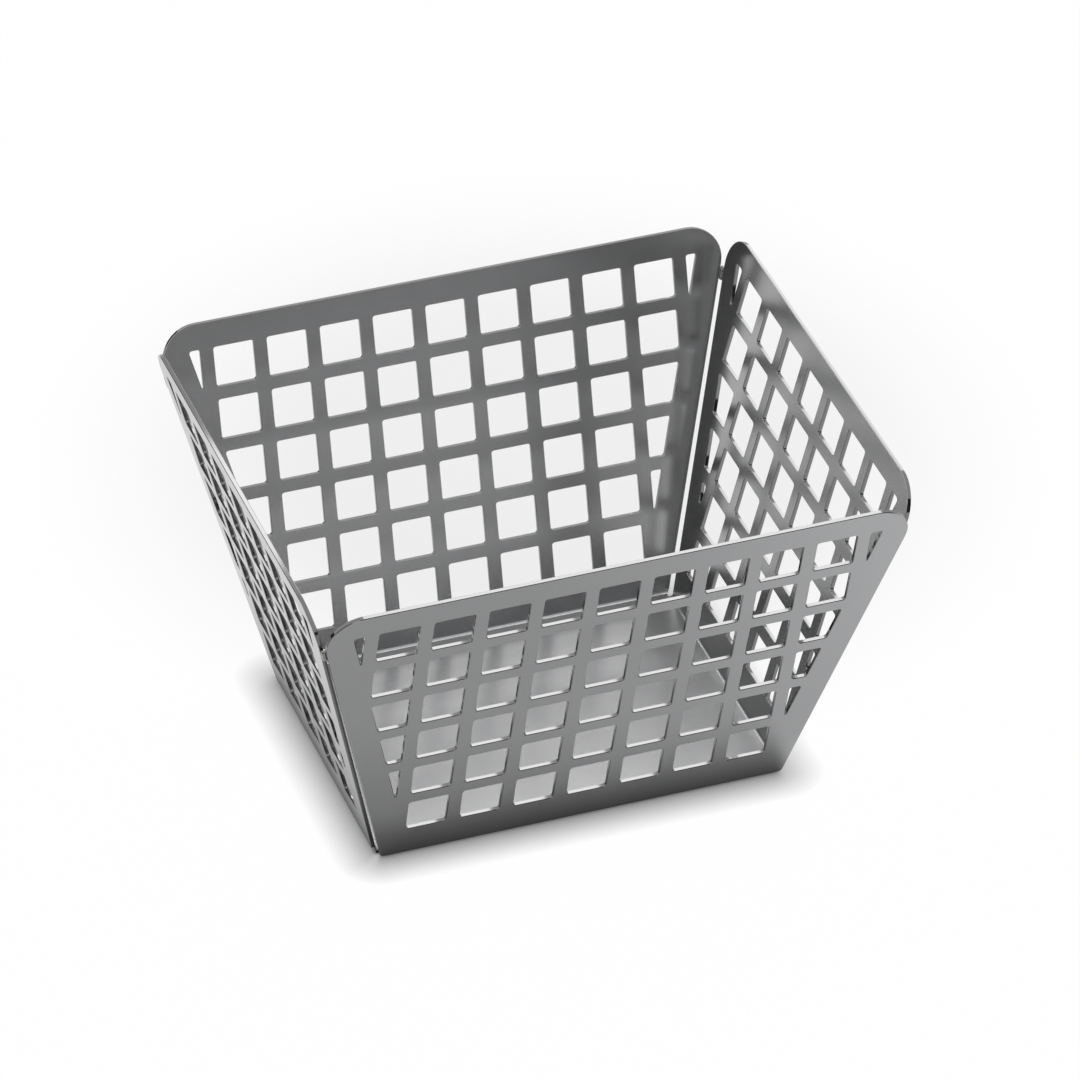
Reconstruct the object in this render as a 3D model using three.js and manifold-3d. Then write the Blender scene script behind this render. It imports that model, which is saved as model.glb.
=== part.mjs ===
import * as THREE from 'three';
import { mergeGeometries, mergeVertices } from 'three/addons/utils/BufferGeometryUtils.js';
import Module from 'manifold-3d';

// A table basket for fries: a laser-cut steel sheet folded up round a plain floor into four
// perforated walls that lean outwards, with a tack weld closing each open corner near the rim.
// Millimetres, +Z up. The origin is the middle of the floor's underside, with the long walls along X.

const wasm = await Module();
wasm.setup();

// Sheet and folds
const SHEET = 1.0; // thickness of the sheet
const BEND_INSIDE = 0.8; // inside radius of the four folds
const LONG_LEAN = 15.3; // degrees that the long walls lean out from the upright
const SHORT_LEAN = 14.3; // degrees that the short walls lean out from the upright
const FLOOR_LENGTH = 94.85; // flat floor along X, from fold to fold
const FLOOR_WIDTH = 70.1; // flat floor along Y, from fold to fold
const FLOOR_ROUND = 1.0; // corner radius of the flat floor

// Perforation
const HOLE = 9.5; // side of a square hole
const BAR = 3.2; // sheet left between two holes
const HOLE_ROUND = 0.6; // corner radius of a hole
const ROWS = 6; // rows of holes, one above the other
const LONG_FOOT = 7.85; // plain sheet between the fold and the lowest holes of a long wall
const SHORT_FOOT = 8.25; // the same on a short wall
const RIM_LAND = 6.4; // plain sheet between the top holes of a long wall and its rim
const LONG_BORDER = 6.5; // plain sheet along the sloping edges of the long walls
const SHORT_BORDER = 6.0; // plain sheet along the sloping edges of the short walls
const TRIM_LEAST = 1.0; // a hole stays whole where the border would take less than this off it
const SLIVER_LEAST = 1.2; // a trimmed hole that is narrower than this isn't cut

// Corners
const LONG_STOP = 0.45; // the long walls end this far short of the short walls' middle plane
const SLOT_FOOT = 2.1; // open slot between a short wall and a long one, level with the fold
const SLOT_RIM = 1.6; // the same slot, level with the rim
const RIM_ROUND = 8.0; // radius of a wall's upper corners
const LONG_FOOT_ROUND = 3.0; // radius of a long wall's lower corners
const SHORT_FOOT_ROUND = 0.5; // radius of a short wall's lower corners
const SHORT_TOE = 1.7; // how much further each end of a short wall's fold reaches towards the corner
const TACK_LENGTH = 3.6; // length of a tack weld's bead
const TACK_CLEAR = 0.08; // gap between the bead and the two edges that it closes
const TACK_INSET = 0.2; // the bead sits this far inside the short wall's middle plane

// Facets
const BEND_STEPS = 3;
const HOLE_STEPS = 1;
const CORNER_STEPS = 6;
const BEAD_STEPS = 3;
const BEAD_SIDES = 10;
const CUT_OVER = 1.0; // how far a cutting outline runs past the sheet that it cuts
const ROUND_SHARE = 0.48; // a rounded corner takes up to this share of the shorter edge beside it

// Finish
const STEEL_COLOUR = 0xb4b5b6;
const FLOOR_ROUGHNESS = 0.3;
const WALL_ROUGHNESS = 0.35;
const WELD_ROUGHNESS = 0.45;

const PITCH = HOLE + BAR;
const BEND_MIDDLE = BEND_INSIDE + SHEET / 2;
const BEND_OUTSIDE = BEND_INSIDE + SHEET;
const SLOPE = LONG_FOOT + (ROWS - 1) * PITCH + HOLE + RIM_LAND;

// A place on a wall is given by U along the wall from its middle and V up its slope from the fold.
// The middle plane of a wall lies this far out from its fold line and this high at a given V.
function leaning(degrees) {
  const lean = THREE.MathUtils.degToRad(degrees);
  const sin = Math.sin(lean);
  const cos = Math.cos(lean);
  const outAt = (v) => BEND_MIDDLE * cos + v * sin;
  const heightAt = (v) => BEND_OUTSIDE - BEND_MIDDLE * sin + v * cos;
  const outAtHeight = (z) => outAt((z - heightAt(0)) / cos);
  return { lean, sin, cos, outAt, heightAt, outAtHeight };
}

const LONG = leaning(LONG_LEAN);
const SHORT = leaning(SHORT_LEAN);
const HALF_SHEET_LEVEL = SHEET / 2 / LONG.cos;
const slotAt = (v) => THREE.MathUtils.lerp(SLOT_FOOT, SLOT_RIM, v / SLOPE);

// Half the width of a wall at V: a long wall covers the short wall's edge, a short wall stops at the slot.
const longHalfAt = (v) => FLOOR_LENGTH / 2 + SHORT.outAtHeight(LONG.heightAt(v)) - LONG_STOP;
const shortInsideAt = (v) => FLOOR_WIDTH / 2 + LONG.outAtHeight(SHORT.heightAt(v)) - HALF_SHEET_LEVEL;
const shortHalfAt = (v) => shortInsideAt(v) - slotAt(v);

// How far a wall's sloping edges turn from the upright, in the plane of the wall.
const flareOf = (halfAt) => Math.atan((halfAt(SLOPE) - halfAt(0)) / SLOPE);

function steel(roughness) {
  return new THREE.MeshStandardMaterial({ color: STEEL_COLOUR, metalness: 1, roughness });
}

function toSolid(geometry) {
  geometry.deleteAttribute('normal');
  geometry.deleteAttribute('uv');
  const merged = mergeVertices(geometry);
  const vertProperties = Float32Array.from(merged.attributes.position.array);
  const triVerts = Uint32Array.from(merged.index.array);
  return new wasm.Manifold(new wasm.Mesh({ numProp: 3, vertProperties, triVerts }));
}

function toGeometry(solid) {
  const { vertProperties, triVerts } = solid.getMesh();
  const geometry = new THREE.BufferGeometry();
  geometry.setAttribute('position', new THREE.BufferAttribute(vertProperties, 3));
  geometry.setIndex(new THREE.BufferAttribute(triVerts, 1));
  geometry.computeVertexNormals();
  return geometry;
}

// The reach of a rounded corner along its two edges, which meet at the angle 2 * half.
const reachOf = (radius, half) => radius / Math.tan(half);

// Points of a closed outline given by its corners, each [x, y, radius], with the corners rounded off.
function roundedOutline(corners, steps) {
  return corners.flatMap(([x, y, radius], index) => {
    const corner = new THREE.Vector2(x, y);
    const [beforeX, beforeY] = corners.at(index - 1);
    const [afterX, afterY] = corners[(index + 1) % corners.length];
    const before = new THREE.Vector2(beforeX, beforeY).sub(corner);
    const after = new THREE.Vector2(afterX, afterY).sub(corner);
    const half = before.angleTo(after) / 2;
    const room = ROUND_SHARE * Math.min(before.length(), after.length());
    const reach = Math.min(reachOf(radius, half), room);
    const start = corner.clone().addScaledVector(before.normalize(), reach);
    const inward = before.clone().add(after.normalize()).normalize();
    const centre = corner.clone().addScaledVector(inward, reach / Math.cos(half));
    const turn = (Math.PI - 2 * half) * -Math.sign(before.cross(after));
    const arc = Array.from({ length: steps + 1 }, (_, step) => (turn * step) / steps);
    return arc.map((angle) => start.clone().rotateAround(centre, angle));
  });
}

// A convex polygon cut off where the signed distance of its points, past a line, is above zero.
function clip(polygon, past) {
  return polygon.flatMap((point, index) => {
    const next = polygon[(index + 1) % polygon.length];
    const kept = past(point) <= 0 ? [point] : [];
    const crosses = past(point) * past(next) < 0;
    const share = past(point) / (past(point) - past(next));
    return crosses ? [...kept, point.clone().lerp(next, share)] : kept;
  });
}

// One hole of the pattern, trimmed along the wall's border, or null where nothing is left of it.
function hole(column, low, trimAt) {
  const side = Math.sign(column) || 1;
  const left = Math.abs(column) * PITCH - HOLE / 2;
  const square = [[left, low], [left + HOLE, low], [left + HOLE, low + HOLE], [left, low + HOLE]]
    .map(([u, v]) => new THREE.Vector2(u, v));
  const past = ({ x, y }) => x - trimAt(y);
  const loss = past(square[1]);
  const polygon = loss > TRIM_LEAST ? clip(square, past) : square;
  const width = Math.max(...polygon.map(({ x }) => x)) - left;
  if (width < SLIVER_LEAST) return null;
  const corners = polygon.map(({ x, y }) => [side * x, y, HOLE_ROUND]);
  return roundedOutline(corners, HOLE_STEPS);
}

// The outlines of all the holes in a wall: rows of squares, trimmed along the wall's sloping edges.
function holeOutlines(halfAt, foot, border) {
  const trimAt = (v) => halfAt(v) - border / Math.cos(flareOf(halfAt));
  const columns = Math.ceil(halfAt(SLOPE) / PITCH);
  const outlines = [];
  for (let row = 0; row < ROWS; row += 1) {
    for (let column = -columns; column <= columns; column += 1) {
      outlines.push(hole(column, foot + row * PITCH, trimAt));
    }
  }
  return outlines.filter((outline) => outline);
}

// The flat outline of a wall, reaching below the fold so that it also trims the bend.
function wallOutline(halfAt, footRound, toe) {
  const low = -BEND_OUTSIDE;
  const ankle = toe > 0 ? [[halfAt(0), 0, footRound]] : [];
  return roundedOutline([
    [-halfAt(low) - toe, low, footRound],
    [halfAt(low) + toe, low, footRound],
    ...ankle,
    [halfAt(SLOPE), SLOPE, RIM_ROUND],
    [-halfAt(SLOPE), SLOPE, RIM_ROUND],
    ...ankle.map(([u, v, radius]) => [-u, v, radius]),
  ], CORNER_STEPS);
}

// A prism over an outline on the slope, square to the wall and right through its sheet and bend.
function slopePrism(outline, { sin, cos, outAt, heightAt }) {
  const reach = SHEET / 2 + CUT_OVER;
  const depth = reach + BEND_OUTSIDE + CUT_OVER;
  const onSlope = new THREE.Matrix4().makeBasis(
    new THREE.Vector3(1, 0, 0),
    new THREE.Vector3(0, sin, cos),
    new THREE.Vector3(0, -cos, sin),
  );
  onSlope.setPosition(0, outAt(0) + reach * cos, heightAt(0) - reach * sin);
  const prism = new THREE.ExtrudeGeometry(new THREE.Shape(outline), { depth, bevelEnabled: false });
  return prism.applyMatrix4(onSlope);
}

// The bent sheet of a wall seen from its end: from the fold line, round the bend and up the slope.
function bentProfile({ lean, sin, cos }) {
  const up = SLOPE + CUT_OVER;
  const profile = new THREE.Shape();
  profile.moveTo(0, 0);
  profile.absarc(0, BEND_OUTSIDE, BEND_OUTSIDE, -Math.PI / 2, -lean, false);
  profile.lineTo(BEND_OUTSIDE * cos + up * sin, BEND_OUTSIDE - BEND_OUTSIDE * sin + up * cos);
  profile.lineTo(BEND_INSIDE * cos + up * sin, BEND_OUTSIDE - BEND_INSIDE * sin + up * cos);
  profile.absarc(0, BEND_OUTSIDE, BEND_INSIDE, -lean, -Math.PI / 2, true);
  profile.closePath();
  return profile;
}

// A wall in its own frame: X along the fold, Y outwards from the fold line, Z up.
function wallGeometry(slope, halfAt, foot, border, footRound, toe) {
  const span = 2 * (halfAt(SLOPE) + CUT_OVER);
  const along = { depth: span, bevelEnabled: false, curveSegments: BEND_STEPS };
  const sheet = new THREE.ExtrudeGeometry(bentProfile(slope), along);
  const endOn = new THREE.Matrix4().makeBasis(
    new THREE.Vector3(0, 1, 0),
    new THREE.Vector3(0, 0, 1),
    new THREE.Vector3(1, 0, 0),
  );
  sheet.applyMatrix4(endOn).translate(-span / 2, 0, 0);

  const outline = slopePrism(wallOutline(halfAt, footRound, toe), slope);
  const prisms = holeOutlines(halfAt, foot, border).map((points) => slopePrism(points, slope));
  const holes = toSolid(mergeGeometries(prisms));
  return toGeometry(toSolid(sheet).intersect(toSolid(outline)).subtract(holes));
}

function floorPanel() {
  const x = FLOOR_LENGTH / 2;
  const y = FLOOR_WIDTH / 2;
  const corners = [[-x, -y], [x, -y], [x, y], [-x, y]].map((corner) => [...corner, FLOOR_ROUND]);
  const outline = new THREE.Shape(roundedOutline(corners, CORNER_STEPS));
  const geometry = new THREE.ExtrudeGeometry(outline, { depth: SHEET, bevelEnabled: false });
  const mesh = new THREE.Mesh(geometry, steel(FLOOR_ROUGHNESS));
  mesh.name = 'floor_panel';
  return mesh;
}

function wall(name, geometry, turn, outward) {
  const mesh = new THREE.Mesh(geometry, steel(WALL_ROUGHNESS));
  mesh.name = name;
  mesh.rotation.z = turn;
  mesh.position.copy(outward);
  return mesh;
}

function walls() {
  const long = wallGeometry(LONG, longHalfAt, LONG_FOOT, LONG_BORDER, LONG_FOOT_ROUND, 0);
  const short = wallGeometry(SHORT, shortHalfAt, SHORT_FOOT, SHORT_BORDER, SHORT_FOOT_ROUND, SHORT_TOE);
  const x = FLOOR_LENGTH / 2;
  const y = FLOOR_WIDTH / 2;
  return [
    wall('back_wall', long, 0, new THREE.Vector3(0, y, 0)),
    wall('front_wall', long, Math.PI, new THREE.Vector3(0, -y, 0)),
    wall('left_wall', short, Math.PI / 2, new THREE.Vector3(-x, 0, 0)),
    wall('right_wall', short, -Math.PI / 2, new THREE.Vector3(x, 0, 0)),
  ];
}

// A weld bead with round ends that closes a corner slot just below the notch between two rim corners.
function tackWeld(name, sideX, sideY) {
  const flare = flareOf(longHalfAt);
  const notch = SLOPE - reachOf(RIM_ROUND, (Math.PI / 2 - flare) / 2) * Math.cos(flare);
  const v = notch - TACK_LENGTH / 2;
  const radius = (slotAt(v) / 2) * LONG.cos - TACK_CLEAR;
  const straight = TACK_LENGTH / 2 - radius;

  const profile = new THREE.Path();
  profile.absarc(0, -straight, radius, -Math.PI / 2, 0, false);
  profile.absarc(0, straight, radius, 0, Math.PI / 2, false);
  const bead = new THREE.LatheGeometry(profile.getPoints(BEAD_STEPS), BEAD_SIDES);
  const mesh = new THREE.Mesh(bead, steel(WELD_ROUGHNESS));
  mesh.name = name;

  const z = LONG.heightAt(v);
  const x = FLOOR_LENGTH / 2 + SHORT.outAtHeight(z) - TACK_INSET;
  const y = FLOOR_WIDTH / 2 + LONG.outAt(v) - HALF_SHEET_LEVEL - slotAt(v) / 2;
  mesh.position.set(sideX * x, sideY * y, z);
  const [tanX, tanY] = [Math.tan(SHORT.lean), Math.tan(LONG.lean)];
  const upCorner = new THREE.Vector3(sideX * tanX, sideY * tanY, 1).normalize();
  mesh.quaternion.setFromUnitVectors(new THREE.Vector3(0, 1, 0), upCorner);
  return mesh;
}

function tackWelds() {
  return [
    tackWeld('tack_weld_front_left', -1, -1),
    tackWeld('tack_weld_front_right', 1, -1),
    tackWeld('tack_weld_back_left', -1, 1),
    tackWeld('tack_weld_back_right', 1, 1),
  ];
}

const basket = new THREE.Group();
basket.add(floorPanel(), ...walls(), ...tackWelds());

export default basket;
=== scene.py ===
import math

import bmesh
import bpy
import numpy as np
from bpy.props import FloatProperty, FloatVectorProperty, IntProperty, PointerProperty
from mathutils import Matrix, Vector
from mathutils.geometry import delaunay_2d_cdt


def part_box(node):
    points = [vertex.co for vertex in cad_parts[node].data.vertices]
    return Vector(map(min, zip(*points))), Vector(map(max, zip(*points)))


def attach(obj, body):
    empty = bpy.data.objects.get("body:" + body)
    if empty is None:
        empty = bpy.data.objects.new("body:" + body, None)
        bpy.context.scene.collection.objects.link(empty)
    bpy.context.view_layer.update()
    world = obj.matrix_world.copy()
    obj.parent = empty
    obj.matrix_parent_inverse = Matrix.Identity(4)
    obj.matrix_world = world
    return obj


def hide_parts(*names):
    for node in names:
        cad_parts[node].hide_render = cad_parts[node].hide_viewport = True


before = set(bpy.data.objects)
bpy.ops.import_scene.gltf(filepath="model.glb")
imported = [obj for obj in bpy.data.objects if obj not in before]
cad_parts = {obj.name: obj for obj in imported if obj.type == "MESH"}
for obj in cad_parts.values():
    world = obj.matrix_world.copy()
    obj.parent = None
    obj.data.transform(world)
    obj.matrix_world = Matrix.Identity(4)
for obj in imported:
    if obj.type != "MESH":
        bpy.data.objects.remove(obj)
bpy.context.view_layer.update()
FLOOR_BOX = np.array([list(corner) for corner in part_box("floor_panel")])
FLOOR_LENGTH, FLOOR_WIDTH, SHEET = (FLOOR_BOX[1] - FLOOR_BOX[0]).tolist()

bl_info = {
    "name": "Fry Basket",
    "version": (1, 0, 0),
    "blender": (4, 5, 0),
    "location": "View3D > Sidebar > Basket",
    "description": "Folds a perforated steel blank into a table basket for fries",
    "category": "Add Mesh",
}


# Sizes, finishes and stage that a user may change


def length(name, description, default):
    """A length in metres."""
    return FloatProperty(
        name=name, description=description, default=default, min=0, precision=5, unit="LENGTH")


def angle(name, description, degrees):
    """An angle, shown in degrees."""
    return FloatProperty(name=name, description=description, default=math.radians(degrees), subtype="ANGLE")


def share(name, description, default):
    """A number from 0 to 1."""
    return FloatProperty(name=name, description=description, default=default, min=0, max=1, subtype="FACTOR")


def power(name, description, default):
    """A lamp's power in watts."""
    return FloatProperty(name=name, description=description, default=default, min=0, unit="POWER")


def colour(name, description, default):
    """A linear colour."""
    return FloatVectorProperty(
        name=name, description=description, default=default, min=0, max=1, subtype="COLOR")


class SheetSizes(bpy.types.PropertyGroup):
    """The blank's sheet and its four folds."""

    sheet: length("Sheet", "Thickness of the steel sheet", SHEET)
    bend_inside: length("Bend", "Inside radius of the four folds", 0.0008)
    floor_length: length("Floor length", "Flat floor between the short walls' folds", FLOOR_LENGTH)
    floor_width: length("Floor width", "Flat floor between the long walls' folds", FLOOR_WIDTH)
    floor_round: length("Floor corner", "Corner radius of the flat floor", 0.001)
    long_lean: angle("Long lean", "How far the long walls lean out", 15.3)
    short_lean: angle("Short lean", "How far the short walls lean out", 14.3)
    edge_break: length("Edge break", "Width of the broken edge along every cut", 0.00012)
    bend_hold: length("Hold", "Flat strip that leads into a fold", 0.0003)


class HoleSizes(bpy.types.PropertyGroup):
    """The square perforation and the plain sheet round it."""

    side: length("Hole", "Side of a square hole", 0.0095)
    bar: length("Bar", "Sheet left between two holes", 0.0032)
    corner: length("Hole corner", "Corner radius of a hole", 0.0006)
    rows: IntProperty(name="Rows", description="Rows of holes, one above the other", default=6, min=1)
    long_foot: length("Long foot", "Plain sheet below the holes of a long wall", 0.00785)
    short_foot: length("Short foot", "Plain sheet below the holes of a short wall", 0.00825)
    rim_land: length("Rim land", "Plain sheet above the holes of a long wall", 0.0064)
    long_border: length("Long border", "Plain sheet along a long wall's sloping edges", 0.0065)
    short_border: length("Short border", "Plain sheet along a short wall's sloping edges", 0.006)
    trim_least: length("Least trim", "A hole stays whole where less than this is taken off", 0.001)
    sliver_least: length("Least sliver", "A trimmed hole narrower than this isn't cut", 0.0012)


class CornerSizes(bpy.types.PropertyGroup):
    """The basket's open corners and the tack welds that close them."""

    long_stop: length("Long stop", "A long wall ends this far short of the short wall's middle", 0.00045)
    slot_foot: length("Slot at fold", "Open slot at a corner, level with the fold", 0.0021)
    slot_rim: length("Slot at rim", "Open slot at a corner, level with the rim", 0.0016)
    rim_round: length("Rim corner", "Radius of a wall's upper corners", 0.008)
    long_foot_round: length("Long foot corner", "Radius of a long wall's lower corners", 0.003)
    short_foot_round: length("Short foot corner", "Radius of a short wall's lower corners", 0.0005)
    short_toe: length("Short toe", "How much further each end of a short wall's fold reaches", 0.0017)
    tack_length: length("Tack", "Length of a tack weld's bead", 0.0036)
    tack_clear: length("Tack gap", "Gap between a bead and the edges that it closes", 0.00008)
    tack_inset: length("Tack inset", "A bead sits this far inside the short wall's middle", 0.0002)


class SteelFinish(bpy.types.PropertyGroup):
    """The two faces of the steel sheet, its cut edges and the welds."""

    outer_colour: colour("Outer face", "Reflected colour of the satin outer face", (0.376, 0.379, 0.384))
    # Painted light: the inner face is given a lighter colour than the outer face to stand in for more light
    # inside
    inner_lit_colour: colour("Inner face", "Reflected colour of the inner face", (0.402, 0.404, 0.408))
    cut_colour: colour("Cut edge", "Reflected colour of the bare cut edges", (0.2, 0.2, 0.2))
    weld_colour: colour("Weld", "Reflected colour of the tack welds", (0.28, 0.28, 0.28))
    wall_roughness: share("Wall roughness", "How blurred the walls' reflections are", 0.22)
    floor_roughness: share("Floor roughness", "How blurred the floor's reflections are", 0.24)
    cut_roughness: share("Cut roughness", "How blurred the reflections of cuts and welds are", 0.08)


class StageSizes(bpy.types.PropertyGroup):
    """The table, the light and the camera."""

    azimuth: angle("Azimuth", "How far the camera stands round to the left of the front", 20.357)
    elevation: angle("Elevation", "How far the camera looks down", 35.825)
    roll: angle("Roll", "How far the camera is tipped", 0.703)
    distance: length("Distance", "From the camera to the point it looks at", 1.86)
    target: FloatVectorProperty(
        name="Target", description="The point that the camera looks at",
        default=(0.00067, -0.00527, 0.05511), subtype="XYZ", unit="LENGTH")
    lens: FloatProperty(
        name="Lens", description="Focal length on a 36 mm frame, in millimetres", default=276.65)
    table_size: length("Table", "Side of the pale table top", 8.0)
    softbox_power: power("Softbox", "Power of the lamp overhead", 4.4)
    back_strip_power: power("Back strip", "Power of the wide lamp at the back", 3.8)
    rim_strip_power: power("Rim strip", "Power of the narrow high lamp at the back", 1.05)
    fill: share("Fill", "Level of the light from all round", 0.5)
    table_glow: share("Table glow", "How much of the table's white comes from the table itself", 0.99)
    flag_distance: length("Flag distance", "From the basket's middle to the dark cards", 0.4)
    flag_height: length("Flag height", "Height of the dark cards in front", 0.3)


# Geometry of the folded blank

# How finely each curve is stepped
HOLE_CORNER_STEPS = 3
RIM_CORNER_STEPS = 10
FLOOR_CORNER_STEPS = 6
FOLD_STEPS = 24
BEAD_RINGS = 25
BEAD_SIDES = 24

# A corner's arc takes at most this share of an edge
ROUND_SHARE = 0.48

# A flat face is filled in millimetres, and points nearer than this would be joined
FILL_SCALE = 1000
FILL_NEAR = 1e-5

# Rails along a cut, from the inner face to the outer one, with 1 where the metal is bare
CUT_PROFILE = (0.0, 1.0, 1.0, 0.0)
RAILS = len(CUT_PROFILE)

# A weld bead's overlapping puddles, their depth as a share of its radius, and their shift along it
PUDDLES = 5
PUDDLE_DEPTH = 0.09
PUDDLE_START = 0.2

# Mesh layers and the angle from which an edge is sharp
BLANK_MAP = "blank"
CUT_MASK = "cut_edge"
INNER_MASK = "inner_face"
SHARP_ANGLE = math.radians(30)


class Slope:
    """The middle plane of a leaning wall.

    At V up the slope it lies middle * cos + V * sin out from the fold line, and
    outside - middle * sin + V * cos high, where middle and outside are radii of the fold.
    """

    def __init__(self, lean, sheet, bend_inside):
        self.lean, self.sin, self.cos = lean, math.sin(lean), math.cos(lean)
        self.inside = bend_inside
        self.middle, self.outside = bend_inside + sheet / 2, bend_inside + sheet

    def out_at(self, v):
        """How far out the middle plane lies at V."""
        return self.middle * self.cos + v * self.sin

    def height_at(self, v):
        """How high the middle plane lies at V."""
        return self.outside - self.middle * self.sin + v * self.cos

    def out_at_height(self, z):
        """How far out the middle plane lies at a height."""
        return self.out_at((z - self.height_at(0)) / self.cos)

    def on_slope(self, places):
        """Flat blank places (U, V, depth from the inner face) as (U, out from the fold line, height)."""
        u, v, depth = np.moveaxis(places, -1, 0)
        radius = self.inside + depth
        out = radius * self.cos + v * self.sin
        return np.stack((u, out, self.outside - radius * self.sin + v * self.cos), -1)

    def round_fold(self, u, turn, depth):
        """The same for places in the fold: turned down by an angle about the fold's centre line."""
        radius = self.inside + depth
        down = self.lean + turn
        out = radius * np.cos(down)
        return np.stack(np.broadcast_arrays(u, out, self.outside - radius * np.sin(down)), -1)


class Blank:
    """One wall of the blank: half its width at V is first + rate * V, with a rounded rim and foot.

    In the fold the width follows first + fold_rate * V, which grows downwards where the wall has a toe.
    """

    def __init__(self, slope, fold, halves, rise, foot, border, foot_round, toe):
        self.slope, self.fold, self.rise = slope, fold, rise
        self.first, self.rate = halves[0], (halves[1] - halves[0]) / rise
        self.fold_rate = self.rate - toe / slope.outside
        self.foot, self.border, self.foot_round = foot, border, foot_round

    def half_at(self, v):
        """Half the wall's width at V."""
        return self.first + self.rate * v

    def trim_at(self, v):
        """Where the holes stop: the border's width in from the sloping edge, square to that edge."""
        return self.half_at(v) - self.border * math.hypot(1, self.rate)


def blanks(scene):
    """The long and the short wall: each one's edges follow the other one's leaning plane."""
    sizes, holes, corners = scene.basket_sheet, scene.basket_holes, scene.basket_corners
    long = Slope(sizes.long_lean, sizes.sheet, sizes.bend_inside)
    short = Slope(sizes.short_lean, sizes.sheet, sizes.bend_inside)
    pitch = holes.side + holes.bar
    rise = holes.long_foot + (holes.rows - 1) * pitch + holes.side + holes.rim_land
    half_sheet = sizes.sheet / 2 / long.cos

    long_half = np.array([short.out_at_height(long.height_at(v)) for v in (0, rise)])
    long_half += sizes.floor_length / 2 - corners.long_stop
    short_half = np.array([long.out_at_height(short.height_at(v)) for v in (0, rise)])
    short_half += sizes.floor_width / 2 - half_sheet - np.array((corners.slot_foot, corners.slot_rim))

    return {
        "long": Blank(long, sizes.floor_width / 2, long_half, rise,
                      holes.long_foot, holes.long_border, corners.long_foot_round, 0.0),
        "short": Blank(short, sizes.floor_length / 2, short_half, rise,
                       holes.short_foot, holes.short_border, corners.short_foot_round, corners.short_toe),
    }


def unit(vectors):
    """Vectors scaled to length one."""
    return vectors / np.linalg.norm(vectors, axis=-1, keepdims=True)


def rounded(corners, radii, steps):
    """Points and outward normals of a counter-clockwise outline whose corners are rounded off.

    An arc's centre lies on its corner's bisector, and the arc turns from the normal of the edge before
    to the normal of the edge after. It reaches along an edge by radius / tan(half the corner's angle).
    """
    corners = np.asarray(corners, float)
    before, after = np.roll(corners, 1, 0) - corners, np.roll(corners, -1, 0) - corners
    room = ROUND_SHARE * np.minimum(np.linalg.norm(before, axis=1), np.linalg.norm(after, axis=1))
    before, after = unit(before), unit(after)
    half = np.arccos(np.clip((before * after).sum(1), -1, 1)) / 2
    reach = np.minimum(radii / np.tan(half), room)
    centre = corners + unit(before + after) * (reach / np.cos(half))[:, None]
    first = np.arctan2(before[:, 0], -before[:, 1])
    turned = first[:, None] + (math.pi - 2 * half)[:, None] * np.linspace(0, 1, steps + 1)
    normals = np.stack((np.cos(turned), np.sin(turned)), -1)
    points = centre[:, None] + (reach * np.tan(half))[:, None, None] * normals
    return points.reshape(-1, 2), normals.reshape(-1, 2)


def clipped(polygon, past):
    """The part of a convex polygon where its points' distance past a line is at most zero."""
    past_next = np.roll(past, -1)
    span = np.where(past == past_next, 1, past - past_next)
    crossing = polygon + (past / span)[:, None] * (np.roll(polygon, -1, 0) - polygon)
    kept = np.stack((past <= 0, past * past_next < 0), 1).ravel()
    return np.stack((polygon, crossing), 1).reshape(-1, 2)[kept]


def hole_outline(blank, holes, column, row):
    """A square hole of the pattern, trimmed along the border and rounded, or None where it isn't cut."""
    pitch = holes.side + holes.bar
    left, low = abs(column) * pitch - holes.side / 2, blank.foot + row * pitch
    square = np.array(((0, 0), (1, 0), (1, 1), (0, 1))) * holes.side + (left, low)
    past = square[:, 0] - blank.trim_at(square[:, 1])
    polygon = clipped(square, past) if past[1] > holes.trim_least else square
    if len(polygon) < 3 or polygon[:, 0].max() - left < holes.sliver_least:
        return None
    if column < 0:
        polygon = polygon[::-1] * (-1, 1)
    return rounded(polygon, holes.corner, HOLE_CORNER_STEPS)


def hole_outlines(blank, holes):
    """The outlines of all the holes of a wall, row by row."""
    columns = math.ceil(blank.half_at(blank.rise) / (holes.side + holes.bar))
    found = [hole_outline(blank, holes, column, row)
             for row in range(holes.rows) for column in range(-columns, columns + 1)]
    return [outline for outline in found if outline is not None]


def rim_path(blank, rim_round, hold):
    """The wall's free edge, from the right end of its fold over the rim to the left end of its fold.

    It is the rounded outline of the wall's four corners, without the arcs of the two sharp lower ones.
    """
    high, low = blank.half_at(blank.rise), blank.half_at(hold)
    corners = ((low, hold), (high, blank.rise), (-high, blank.rise), (-low, hold))
    points, normals = rounded(corners, np.array((0, 1, 1, 0)) * rim_round, RIM_CORNER_STEPS)
    free = slice(RIM_CORNER_STEPS, -RIM_CORNER_STEPS)
    return points[free], normals[free]


def foot_half(blank, v):
    """Half the wall's width in the fold: the sloping edge, then an arc of the foot corner's radius."""
    low, radius = -blank.slope.outside, blank.foot_round
    tilt = math.atan(blank.fold_rate)
    reach = radius / math.tan((math.pi / 2 + tilt) / 2)
    centre_u, centre_v = blank.first + blank.fold_rate * low - reach, low + radius
    on_edge = blank.first + blank.fold_rate * v
    on_arc = centre_u + np.sqrt(np.clip(radius ** 2 - (v - centre_v) ** 2, 0, None))
    return np.where(v > low + reach * math.cos(tilt), on_edge, on_arc)


def rail_depths(sizes):
    """Depths of a cut's rails below the inner face: face, broken edge, broken edge, face."""
    return np.array((0, sizes.edge_break, sizes.sheet - sizes.edge_break, sizes.sheet))


def edge_rails(points, normals, inset, depths):
    """The cut's profile carried along an outline, as rails of places (U, V, depth).

    The first and last rail lie on the faces and stand back from the cut along its normal.
    """
    face = points + inset * normals
    flat = np.stack((face, points, points, face))
    depth = np.broadcast_to(depths[:, None, None], (*flat.shape[:2], 1))
    return np.concatenate((flat, depth), -1)


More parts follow.
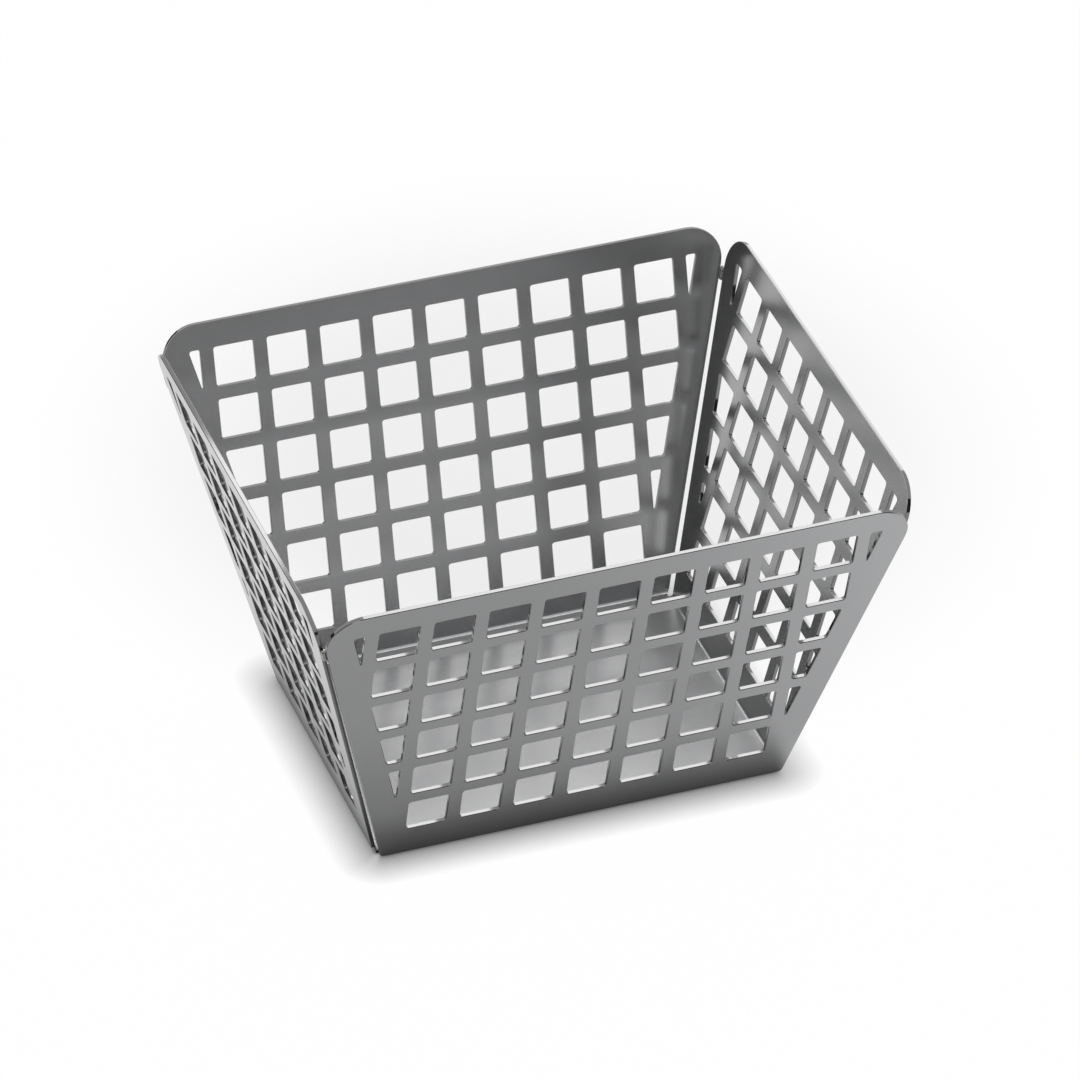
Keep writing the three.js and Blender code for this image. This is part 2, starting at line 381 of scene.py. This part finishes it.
def band_faces(rails, count, start, closed):
    """Quads between neighbouring rails of count points each, stored one rail after the other."""
    along = np.arange(count if closed else count - 1)
    rail = np.arange(rails - 1)[:, None] * count
    here, there = rail + along, rail + (along + 1) % count
    return (start + np.stack((here, there, there + count, here + count), -1)).reshape(-1, 4)


def flat_faces(loops, starts):
    """Triangles of the flat face between an outer outline and its holes, as indices of the first rail.

    All outlines are edges of one constrained triangulation. A triangle with its three corners on one
    hole lies inside that hole, because the holes are convex, and is left out.
    """
    counts = np.array([len(loop) for loop in loops])
    owner = np.repeat(np.arange(len(loops)), counts)
    first = np.concatenate(((0,), np.cumsum(counts)[:-1]))
    within = np.arange(counts.sum()) - first[owner]
    following = first[owner] + (within + 1) % counts[owner]
    edges = np.stack((np.arange(counts.sum()), following), 1).tolist()
    flat = [Vector(point) for point in (np.concatenate(loops) * FILL_SCALE).tolist()]
    made, _, faces, source, _, _ = delaunay_2d_cdt(flat, edges, [], 1, FILL_NEAR)
    if len(made) != len(flat):
        raise RuntimeError("two outlines of a wall touch each other")
    source = np.array([index[0] for index in source])
    triangles = source[np.array([list(face) for face in faces])]
    group = owner[triangles]
    inside = (group[:, 0] > 0) & (group == group[:, :1]).all(1)
    triangles = triangles[~inside]
    return np.asarray(starts)[owner[triangles]] + within[triangles]


def flat_part(blank, scene):
    """The wall above its fold, as blank places, a cut mask, groups of faces, and its lower end's ring.

    The faces fill the free edge's outline between the holes on both sides of the sheet, and the cut's
    profile runs along every outline.
    """
    sizes, depths = scene.basket_sheet, rail_depths(scene.basket_sheet)
    rim = rim_path(blank, scene.basket_corners.rim_round, sizes.bend_hold)
    holes = hole_outlines(blank, scene.basket_holes)
    rails = [edge_rails(*rim, -sizes.edge_break, depths)]
    rails += [edge_rails(*hole, sizes.edge_break, depths) for hole in holes]
    counts = np.array([rail.shape[1] for rail in rails])
    starts = np.concatenate(((0,), np.cumsum(counts * RAILS)[:-1]))
    places = np.concatenate([rail.reshape(-1, 3) for rail in rails])
    cut = np.concatenate([np.repeat(CUT_PROFILE, count) for count in counts])

    bands = [band_faces(RAILS, count, start, start > 0) for count, start in zip(counts, starts)]
    inner = flat_faces([rail[0, :, :2] for rail in rails], starts)
    outer = inner + (RAILS - 1) * counts[np.searchsorted(starts, inner, side="right") - 1]

    right_end = np.arange(RAILS) * counts[0]
    left_end = right_end[::-1] + counts[0] - 1
    return places, cut, (*bands, inner, outer), np.concatenate((right_end, left_end))


def fold_part(blank, sizes, lead, start):
    """The wall's fold, as points (U, out, height), blank places, a cut mask and groups of faces.

    The wall's cross-section is a ring of the right cut's rails and then the left cut's. It is carried
    round the fold's centre line, from the lead ring of the flat part to the floor, and closed there.
    """
    depths = rail_depths(sizes)
    turn = np.linspace(0, math.pi / 2 - blank.slope.lean, FOLD_STEPS + 1)[:, None]
    back = sizes.edge_break * (1 - np.array(CUT_PROFILE))
    half = foot_half(blank, -(blank.slope.inside + depths) * np.sin(turn)) - back
    ring_u = np.concatenate((half, -half[:, ::-1]), 1)
    ring_depth = np.concatenate((depths, depths[::-1]))
    points = blank.slope.round_fold(ring_u, turn, ring_depth)
    places = np.stack(np.broadcast_arrays(ring_u, -turn * blank.slope.middle, ring_depth), -1)
    cut = np.tile(CUT_PROFILE, 2 * len(turn))

    rings = start + np.arange(ring_u.size).reshape(ring_u.shape)
    chain = np.concatenate((lead[None], rings))
    beside = np.roll(chain, -1, 1)
    sides = np.stack((chain[:-1], beside[:-1], beside[1:], chain[1:]), -1).reshape(-1, 4)
    return points.reshape(-1, 3), places.reshape(-1, 3), cut, (sides, rings[-1:])


def wall_surface(blank, scene):
    """A wall with its fold, as points (U, out, height), blank places, a cut mask and faces."""
    flat, flat_cut, flat_groups, lead = flat_part(blank, scene)
    round_points, fold, fold_cut, fold_groups = fold_part(blank, scene.basket_sheet, lead, len(flat))
    points = np.concatenate((blank.slope.on_slope(flat), round_points))
    faces = [face for group in (*flat_groups, *fold_groups) for face in group.tolist()]
    return points, np.concatenate((flat, fold)), np.concatenate((flat_cut, fold_cut)), faces


def stood(rows, fold, quarters):
    """Rows (U, out, third) moved out to the fold line and turned about the vertical by quarter turns."""
    quarter = np.linalg.matrix_power(np.array(((0, -1), (1, 0))), quarters)
    return np.concatenate(((rows[:, :2] + (0, fold)) @ quarter.T, rows[:, 2:]), 1)


def floor_surface(sizes):
    """The flat floor: a rectangle with rounded corners, carried down through the sheet."""
    half = np.array((sizes.floor_length, sizes.floor_width)) / 2
    corners = np.array(((-1, -1), (1, -1), (1, 1), (-1, 1))) * half
    outline, _ = rounded(corners, np.full(len(corners), sizes.floor_round), FLOOR_CORNER_STEPS)
    count = len(outline)
    depth = np.repeat((0.0, sizes.sheet), count)[:, None]
    places = np.concatenate((np.tile(outline, (2, 1)), depth), 1)
    points = np.concatenate((places[:, :2], sizes.sheet - depth), 1)
    top = np.arange(count)
    faces = [top.tolist(), (top[::-1] + count).tolist(), *band_faces(2, count, 0, True).tolist()]
    return points, places, np.zeros(len(points)), faces


def bead_surface(scene, side_x, side_y):
    """A weld bead in a corner slot: a capsule turned about the corner's slanting line.

    Along the bead the radius is that of a capsule, less a ripple of overlapping puddles, which is a
    raised cosine. The bead ends just below the rim's rounded corner and fills the slot but for a gap.
    """
    sizes, corners = scene.basket_sheet, scene.basket_corners
    plans = blanks(scene)
    long, short = plans["long"].slope, plans["short"].slope
    rise, tilt = plans["long"].rise, math.atan(plans["long"].rate)
    notch = rise - corners.rim_round / math.tan((math.pi / 2 - tilt) / 2) * math.cos(tilt)
    v = notch - corners.tack_length / 2
    slot = corners.slot_foot + (corners.slot_rim - corners.slot_foot) * v / rise
    radius = slot / 2 * long.cos - corners.tack_clear
    straight = corners.tack_length / 2 - radius

    along = np.sin(np.linspace(-1, 1, BEAD_RINGS) * math.pi / 2) * corners.tack_length / 2
    past = np.clip(np.abs(along) - straight, 0, None)
    wave = np.cos(PUDDLES * math.pi * (along / corners.tack_length * 2 + PUDDLE_START))
    wide = np.sqrt(np.clip(radius ** 2 - past ** 2, 0, None)) * (1 - PUDDLE_DEPTH * (1 + wave) / 2)
    turn = np.arange(BEAD_SIDES) * 2 * math.pi / BEAD_SIDES
    wide, level = wide[1:-1, None], along[1:-1, None]
    body = np.stack(np.broadcast_arrays(wide * np.cos(turn), wide * np.sin(turn), level), -1).reshape(-1, 3)
    ends = np.array(((0, 0, along[0]), (0, 0, along[-1])))
    local = np.concatenate((body, ends))

    z = long.height_at(v)
    centre = np.array((
        side_x * (sizes.floor_length / 2 + short.out_at_height(z) - corners.tack_inset),
        side_y * (sizes.floor_width / 2 + long.out_at(v) - sizes.sheet / 2 / long.cos - slot / 2), z))
    axis = unit(np.array((side_x * math.tan(short.lean), side_y * math.tan(long.lean), 1.0)))
    across = unit(np.cross(axis, (0.0, 1.0, 0.0)))
    points = centre + local @ np.stack((across, np.cross(axis, across), axis))

    grid = np.arange(len(body)).reshape(-1, BEAD_SIDES)
    beside = np.roll(grid, -1, 1)
    quads = np.stack((grid[:-1], beside[:-1], beside[1:], grid[1:]), -1).reshape(-1, 4)
    low = np.stack((grid[0], beside[0], np.full(BEAD_SIDES, len(body))), -1)
    high = np.stack((grid[-1], beside[-1], np.full(BEAD_SIDES, len(body) + 1)), -1)
    return points, points, np.zeros(len(points)), quads.tolist() + low.tolist() + high.tolist()


def add_piece(scene, name, surface, material, node):
    """Makes a mesh object at the origin, smooth with sharp cut edges, that stands for a CAD node."""
    points, places, cut, faces = surface
    mesh = bpy.data.meshes.new(name)
    mesh.from_pydata(points.tolist(), [], faces)
    outward = bmesh.new()
    outward.from_mesh(mesh)
    bmesh.ops.recalc_face_normals(outward, faces=outward.faces)
    outward.to_mesh(mesh)
    outward.free()

    corner = np.empty(len(mesh.loops), np.int32)
    mesh.loops.foreach_get("vertex_index", corner)
    mesh.uv_layers.new(name=BLANK_MAP).data.foreach_set("uv", places[corner, :2].ravel())
    inner = places[:, 2] < scene.basket_sheet.sheet / 2
    for layer, mask in ((CUT_MASK, cut), (INNER_MASK, inner)):
        mesh.attributes.new(layer, "FLOAT", "POINT").data.foreach_set("value", mask.astype(np.float32))
    mesh.shade_smooth()
    mesh.set_sharp_from_angle(angle=SHARP_ANGLE)
    mesh.materials.append(material)

    piece = bpy.data.objects.new(name, mesh)
    scene.collection.objects.link(piece)
    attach(piece, "root")
    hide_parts(node)


# Materials

# Sockets of a Mix node that mixes colours
MIX_FACTOR, MIX_FIRST, MIX_SECOND, MIX_RESULT = 0, 6, 7, 2

# Satin sheet: stretch of its grain along the blank, scales of its clouds and waves, and what they do
GRAIN_STRETCH = (60, 3600, 1)
CLOUD_SCALE = 38
WAVE_SCALE = 26
CLOUD_TONE = 0.06
CLOUD_ROUGHNESS = 0.1
GRAIN_ROUGHNESS = 0.08
WAVE_HEIGHT = 0.00004
GRAIN_HEIGHT = 0.0000004

# Weld: scales of its mottle and heat tint, what the mottle does, and the tint
MOTTLE_SCALE = 1400
TINT_SCALE = 420
MOTTLE_ROUGHNESS = 0.2
MOTTLE_HEIGHT = 0.00006
MOTTLE_STRENGTH = 0.5
STRAW = (1.02, 0.97, 0.9)

# Table: its paper, and how far from the floor's edges, along x and y, its white has come up from the
# shadow: where the camera looks, in reflections, and in the dark line of contact that reflections show.
# The paper's shading there is real; the wider reach in reflections and the dark contact line are painted
# shadow
PAPER = 0.78
CAMERA_REACH = (0.011, 0.011)
MIRROR_REACH = (0.008, 0.024)
CONTACT_REACH = (0.004, 0.012)
PAINTED_CONTACT_SHADE = 0.7

# In reflections the shadow is drawn out to the left, by this much for each metre, a painted shape
MIRROR_LEAN = 8.0

# In front of the basket reflections lose this share at the left, and none past the right end: painted shade
DIM_SHARE = 0.58
DIM_FROM, DIM_TO = -0.06, 0.087
FRONT_FROM, FRONT_TO = -0.037, -0.045

# Painted soft round shade on the table behind the basket, where the paper's shading shows: its middle, its
# lowest level and where it fades out
SHADE_MIDDLE = (0.04, 0.1, 0)
SHADE_LEVEL = 0.68
SHADE_FROM, SHADE_TO = 0.05, 0.125


class Wire:
    """A node's output that takes part in Python sums: each operator adds the Math node for it."""

    def __init__(self, board, socket):
        self.board, self.socket = board, socket

    def __add__(self, other):
        return self.board.math("ADD", self, other)

    def __radd__(self, other):
        return self.board.math("ADD", other, self)

    def __sub__(self, other):
        return self.board.math("SUBTRACT", self, other)

    def __rsub__(self, other):
        return self.board.math("SUBTRACT", other, self)

    def __mul__(self, other):
        return self.board.math("MULTIPLY", self, other)

    def __rmul__(self, other):
        return self.board.math("MULTIPLY", other, self)


class Board:
    """The node tree of a material or world, emptied, to which nodes are added in code."""

    def __init__(self, owner):
        owner.use_nodes = True
        self.tree = owner.node_tree
        self.tree.nodes.clear()

    def put(self, kind, settings=None, sockets=None, out=0):
        """Adds a node: first its settings, then the values or wires of its sockets."""
        node = self.tree.nodes.new(kind)
        for name, value in (settings or {}).items():
            setattr(node, name, value)
        for name, value in (sockets or {}).items():
            if isinstance(value, Wire):
                self.tree.links.new(value.socket, node.inputs[name])
            else:
                node.inputs[name].default_value = value
        return Wire(self, node.outputs[out]) if len(node.outputs) else None

    def math(self, operation, first, second):
        """A Math node of two values."""
        return self.put("ShaderNodeMath", {"operation": operation}, {0: first, 1: second})

    def vector(self, operation, *inputs, out=0):
        """A Vector Math node."""
        return self.put("ShaderNodeVectorMath", {"operation": operation}, dict(enumerate(inputs)), out)

    def blend(self, factor, first, second):
        """A colour mixed from two others."""
        return self.put("ShaderNodeMix", {"data_type": "RGBA"},
                        {MIX_FACTOR: factor, MIX_FIRST: first, MIX_SECOND: second}, MIX_RESULT)

    def mixed(self, factor, first, second):
        """A shader mixed from two others."""
        return self.put("ShaderNodeMixShader", None, {0: factor, 1: first, 2: second})

    def ramp(self, value, start, end, low=0.0, curve="LINEAR"):
        """Rises from low to one while a value goes from its start to its end."""
        return self.put("ShaderNodeMapRange", {"interpolation_type": curve},
                        {"Value": value, "From Min": start, "From Max": end, "To Min": low, "To Max": 1.0})

    def noise(self, place, scale, detail):
        """Cloudy noise from 0 to 1."""
        return self.put("ShaderNodeTexNoise", None, {"Vector": place, "Scale": scale, "Detail": detail})

    def place(self):
        """Where a point lies on the object, in metres."""
        return self.put("ShaderNodeTexCoord", out="Object")


def opaque(rgb, level=1.0):
    """A colour with full alpha, at a share of its level."""
    return (*(level * part for part in rgb), 1.0)


def grey(level):
    """A grey with full alpha."""
    return opaque((1, 1, 1), level)


def metal(board, base, rough, normal):
    """Bare metal of a colour and roughness, as the tree's surface."""
    shader = board.put("ShaderNodeBsdfPrincipled", None,
                       {"Base Color": base, "Metallic": 1.0, "Roughness": rough, "Normal": normal})
    board.put("ShaderNodeOutputMaterial", None, {"Surface": shader})


def steel(name, finish, roughness):
    """Satin steel: fine grain along the blank, faint clouds, painted light that makes the inner face lighter,
    bare metal on the cuts.
    """
    material = bpy.data.materials.new(name)
    board = Board(material)
    blank = board.put("ShaderNodeUVMap", {"uv_map": BLANK_MAP})
    place = board.place()
    cut, inner = (board.put("ShaderNodeAttribute", {"attribute_name": mask}, out="Fac")
                  for mask in (CUT_MASK, INNER_MASK))

    streak = board.put("ShaderNodeMapping", None, {"Vector": blank, "Scale": GRAIN_STRETCH})
    grain = board.put("ShaderNodeTexNoise", None,
                      {"Vector": streak, "Scale": 1, "Detail": 3, "Roughness": 0.6})
    cloud = board.noise(place, CLOUD_SCALE, 3)
    wave = board.noise(place, WAVE_SCALE, 0)

    satin = roughness + CLOUD_ROUGHNESS * (cloud - 0.5) + GRAIN_ROUGHNESS * (grain - 0.5)
    rough = satin + cut * (finish.cut_roughness - satin)
    # Painted light: the inner face's lighter colour stands in for more light inside the basket
    outer_tone, inner_lit_tone = (board.blend(cloud, opaque(tone, 1 - CLOUD_TONE), opaque(tone, 1 + CLOUD_TONE))
                              for tone in (finish.outer_colour, finish.inner_lit_colour))
    base = board.blend(cut, board.blend(inner, outer_tone, inner_lit_tone), opaque(finish.cut_colour))
    height = WAVE_HEIGHT * wave + GRAIN_HEIGHT * grain
    normal = board.put("ShaderNodeBump", None, {"Strength": 1.0, "Distance": 1.0, "Height": height})
    metal(board, base, rough, normal)
    return material


def weld_steel(name, tone, roughness):
    """A weld bead: duller steel with a fine mottle and a faint straw tint from the heat."""
    material = bpy.data.materials.new(name)
    board = Board(material)
    place = board.place()
    mottle = board.noise(place, MOTTLE_SCALE, 3)
    tint = board.noise(place, TINT_SCALE, 1)
    straw = [part * tinted for part, tinted in zip(tone, STRAW)]
    base = board.blend(tint, opaque(tone), opaque(straw))
    normal = board.put("ShaderNodeBump", None,
                       {"Strength": MOTTLE_STRENGTH, "Distance": MOTTLE_HEIGHT, "Height": mottle})
    metal(board, base, roughness + MOTTLE_ROUGHNESS * (mottle - 0.5), normal)
    return material


def lines_of_sight(board):
    """Two wires: one for rays from the camera, and one for rays from a mirror surface or through glass."""
    camera, glossy, through = (board.put("ShaderNodeLightPath", out=kind)
                               for kind in ("Is Camera Ray", "Is Glossy Ray", "Is Transmission Ray"))
    return camera, board.math("MAXIMUM", glossy, through)


def clear_of_basket(board, reach, lean=0.0):
    """Rises from zero under the basket's floor to one at the reach along x and y.

    The way out is the length of (max(|x| - half length, 0) / reach x, max(|y| - half width, 0) / reach y),
    times 1 + lean * x, which draws the shadow out to the left as a painted shape.
    """
    place = board.place()
    past = board.vector("SUBTRACT", board.vector("ABSOLUTE", place), (FLOOR_LENGTH / 2, FLOOR_WIDTH / 2, 0))
    out = board.vector("MAXIMUM", past, (0, 0, 0))
    away = board.vector("LENGTH", board.vector("DIVIDE", out, (*reach, 1)), out="Value")
    x = board.put("ShaderNodeSeparateXYZ", None, {0: place}, "X")
    return board.math("MINIMUM", away * (1 + lean * x), 1.0)


def painted_shade_left(board):
    """Painted shade in reflections: in front of the basket, rises from a share at its left end to one past
    its right end, as a cube.
    """
    place = board.place()
    x, y = (board.put("ShaderNodeSeparateXYZ", None, {0: place}, axis) for axis in "XY")
    way = board.ramp(x, DIM_FROM, DIM_TO)
    front = board.ramp(y, FRONT_FROM, FRONT_TO)
    return 1 - DIM_SHARE * front * (1 - way * way * way)


def clear_of_painted_shade(board):
    """Rises from its lowest level to one over the distance from the middle of the painted soft round shade.
    """
    away = board.vector("DISTANCE", board.place(), SHADE_MIDDLE, out="Value")
    return board.ramp(away, SHADE_FROM, SHADE_TO, SHADE_LEVEL, "SMOOTHSTEP")


def white_table(name, table_glow):
    """Pale paper that is white where the camera or a reflection shows it, but for the basket's shadow, partly
    the paper's real shading and partly painted shade.
    """
    material = bpy.data.materials.new(name)
    board = Board(material)
    paper = board.put("ShaderNodeBsdfDiffuse", None, {"Color": grey(PAPER)})
    glow = board.put("ShaderNodeEmission", None, {"Color": grey(1), "Strength": 1.0})
    dark = board.put("ShaderNodeBsdfDiffuse", None, {"Color": grey(0)})
    camera, mirrored = lines_of_sight(board)
    seen = camera * clear_of_basket(board, CAMERA_REACH) * clear_of_painted_shade(board)
    reflected = mirrored * clear_of_basket(board, MIRROR_REACH, MIRROR_LEAN) * painted_shade_left(board)
    # Painted contact shadow: near the floor's edges, reflections of the table turn towards black
    contact = PAINTED_CONTACT_SHADE * mirrored * (1 - clear_of_basket(board, CONTACT_REACH))
    white = board.mixed((seen + reflected) * table_glow, paper, glow)
    board.put("ShaderNodeOutputMaterial", None, {"Surface": board.mixed(contact, white, dark)})
    return material


def dark_card(name, tone):
    """Dull dark card."""
    material = bpy.data.materials.new(name)
    board = Board(material)
    card = board.put("ShaderNodeBsdfDiffuse", None, {"Color": grey(tone)})
    board.put("ShaderNodeOutputMaterial", None, {"Surface": card})
    return material


# Operators

# Walls: side, kind of wall and quarter turns from the back
WALLS = (("back", "long", 0), ("left", "short", 1), ("front", "long", 2), ("right", "short", 3))

# Dark cards: name, in front (-1) or behind (1), left end, right end, share of the height, and grey
FLAGS = (
    ("front_flag", -1, -0.03, 0.6, 1, 0.06),
    ("left_flag", -1, -0.9, -0.15, 1, 0.06),
    ("back_flag", 1, -0.75, -0.12, 2 / 3, 0.08),
)
FLAG_LIFT = 0.001

# Lamps: name, width and height, and place, from which each one faces the basket
LAMPS = (
    ("softbox", (0.7, 0.7), (0.42, 0.61, 1.19)),
    ("back_strip", (1.0, 0.6), (0.85, 1.5, 0.6)),
    ("rim_strip", (0.55, 0.2), (-0.14, 1.15, 1.07)),
)

# Camera: width of its frame in millimetres, and its near and far limits
FRAME_WIDTH = 36
CLIP_NEAR, CLIP_FAR = 0.01, 50


class FRYBASKET_OT_floor(bpy.types.Operator):
    """Lays the plain floor between the four folds"""

    bl_idname = "fry_basket.floor"
    bl_label = "Floor"

    def execute(self, context):
        scene, finish = context.scene, context.scene.basket_finish
        material = steel("satin_floor", finish, finish.floor_roughness)
        surface = floor_surface(scene.basket_sheet)
        add_piece(scene, "basket_floor", surface, material, "floor_panel")
        return {"FINISHED"}


class FRYBASKET_OT_walls(bpy.types.Operator):
    """Folds up the four perforated walls"""

    bl_idname = "fry_basket.walls"
    bl_label = "Walls"

    def execute(self, context):
        scene, finish = context.scene, context.scene.basket_finish
        material = steel("satin_wall", finish, finish.wall_roughness)
        plans = blanks(scene)
        surfaces = {kind: wall_surface(blank, scene) for kind, blank in plans.items()}
        for side, kind, quarters in WALLS:
            points, places, cut, faces = surfaces[kind]
            points, places = (stood(rows, plans[kind].fold, quarters) for rows in (points, places))
            surface = (points, places, cut, faces)
            add_piece(scene, f"basket_{side}_wall", surface, material, f"{side}_wall")
        return {"FINISHED"}


class FRYBASKET_OT_welds(bpy.types.Operator):
    """Lays the four tack welds in the corner slots"""

    bl_idname = "fry_basket.welds"
    bl_label = "Tack welds"

    def execute(self, context):
        scene, finish = context.scene, context.scene.basket_finish
        material = weld_steel("weld_bead", finish.weld_colour, finish.cut_roughness)
        for end, side_y in (("front", -1), ("back", 1)):
            for side, side_x in (("left", -1), ("right", 1)):
                surface = bead_surface(scene, side_x, side_y)
                add_piece(scene, f"basket_tack_{end}_{side}", surface, material,
                          f"tack_weld_{end}_{side}")
        return {"FINISHED"}


class FRYBASKET_OT_stage(bpy.types.Operator):
    """Sets the pale table, the soft light and the camera"""

    bl_idname = "fry_basket.stage"
    bl_label = "Stage"

    def execute(self, context):
        scene, stage = context.scene, context.scene.basket_stage
        self.lay_table(scene, stage)
        self.stand_flags(scene, stage)
        self.hang_lamps(scene, stage)
        self.light_room(scene, stage)
        self.set_camera(scene, stage)
        scene.view_settings.view_transform = "Standard"
        return {"FINISHED"}

    def add_card(self, scene, name, corners, material):
        """A flat card with four corners that belongs to the stage."""
        mesh = bpy.data.meshes.new(name)
        mesh.from_pydata(corners, [], [(0, 1, 2, 3)])
        mesh.materials.append(material)
        card = bpy.data.objects.new(name, mesh)
        scene.collection.objects.link(card)
        return card

    def lay_table(self, scene, stage):
        """A square table top, level with the basket's underside."""
        half = stage.table_size / 2
        corners = [(-half, -half, 0), (half, -half, 0), (half, half, 0), (-half, half, 0)]
        self.add_card(scene, "table_top", corners, white_table("white_table", stage.table_glow))

    def stand_flags(self, scene, stage):
        """Dark cards in front of the basket and behind it to the left, which only reflections show."""
        for name, end, left, right, height, tone in FLAGS:
            y, top = end * stage.flag_distance, height * stage.flag_height
            corners = [(left, y, FLAG_LIFT), (right, y, FLAG_LIFT), (right, y, top), (left, y, top)]
            flag = self.add_card(scene, name, corners, dark_card(name, tone))
            flag.visible_camera = flag.visible_diffuse = flag.visible_shadow = False

    def hang_lamps(self, scene, stage):
        """A softbox overhead and two lamps at the back, a wide low one and a narrow high one."""
        for name, size, place in LAMPS:
            lamp = bpy.data.lights.new(name, "AREA")
            lamp.shape, lamp.size, lamp.size_y = "RECTANGLE", *size
            lamp.energy = getattr(stage, f"{name}_power")
            box = bpy.data.objects.new(name, lamp)
            box.location = place
            box.rotation_euler = Vector(place).to_track_quat("Z", "Y").to_euler()
            scene.collection.objects.link(box)

    def light_room(self, scene, stage):
        """White where the camera or a reflection shows it, and a soft fill for what it lights."""
        world = bpy.data.worlds.new("studio")
        scene.world = world
        board = Board(world)
        camera, mirrored = lines_of_sight(board)
        room = board.blend(camera + mirrored, grey(stage.fill), grey(1))
        light = board.put("ShaderNodeBackground", None, {"Color": room, "Strength": 1.0})
        board.put("ShaderNodeOutputWorld", None, {"Surface": light})

    def set_camera(self, scene, stage):
        """Stands the camera back from its target along the direction that azimuth and elevation give."""
        flat, drop = math.cos(stage.elevation), math.sin(stage.elevation)
        ahead = Vector((math.sin(stage.azimuth) * flat, math.cos(stage.azimuth) * flat, -drop))
        level = ahead.cross(Vector((0, 0, 1))).normalized()
        right = Matrix.Rotation(-stage.roll, 3, ahead) @ level
        up = right.cross(ahead)
        camera = bpy.data.cameras.new("camera")
        camera.lens, camera.sensor_width, camera.sensor_fit = stage.lens, FRAME_WIDTH, "HORIZONTAL"
        camera.clip_start, camera.clip_end = CLIP_NEAR, CLIP_FAR
        stand = bpy.data.objects.new("camera", camera)
        turned = Matrix((right, up, -ahead)).transposed().to_4x4()
        stand.matrix_world = Matrix.Translation(Vector(stage.target) - ahead * stage.distance) @ turned
        scene.collection.objects.link(stand)
        scene.camera = stand


class FRYBASKET_PT_sidebar(bpy.types.Panel):
    """The basket's sizes, finish and steps in the sidebar"""

    bl_idname = "FRYBASKET_PT_sidebar"
    bl_label = "Fry Basket"
    bl_space_type = "VIEW_3D"
    bl_region_type = "UI"
    bl_category = "Basket"

    def draw(self, context):
        for name, _ in GROUPS:
            box = self.layout.box()
            values = getattr(context.scene, name)
            for value in values.__annotations__:
                box.prop(values, value)
        for step in STEPS:
            self.layout.operator(step.bl_idname)


GROUPS = (
    ("basket_sheet", SheetSizes),
    ("basket_holes", HoleSizes),
    ("basket_corners", CornerSizes),
    ("basket_finish", SteelFinish),
    ("basket_stage", StageSizes),
)
STEPS = (FRYBASKET_OT_floor, FRYBASKET_OT_walls, FRYBASKET_OT_welds, FRYBASKET_OT_stage)
CLASSES = (*(group for _, group in GROUPS), *STEPS, FRYBASKET_PT_sidebar)


def register():
    for entry in CLASSES:
        bpy.utils.register_class(entry)
    for name, group in GROUPS:
        setattr(bpy.types.Scene, name, PointerProperty(type=group))


def unregister():
    for name, _ in GROUPS:
        delattr(bpy.types.Scene, name)
    for entry in reversed(CLASSES):
        bpy.utils.unregister_class(entry)


def main():
    register()
    bpy.ops.fry_basket.floor()
    bpy.ops.fry_basket.walls()
    bpy.ops.fry_basket.welds()
    bpy.ops.fry_basket.stage()


if __name__ == "__main__":
    main()
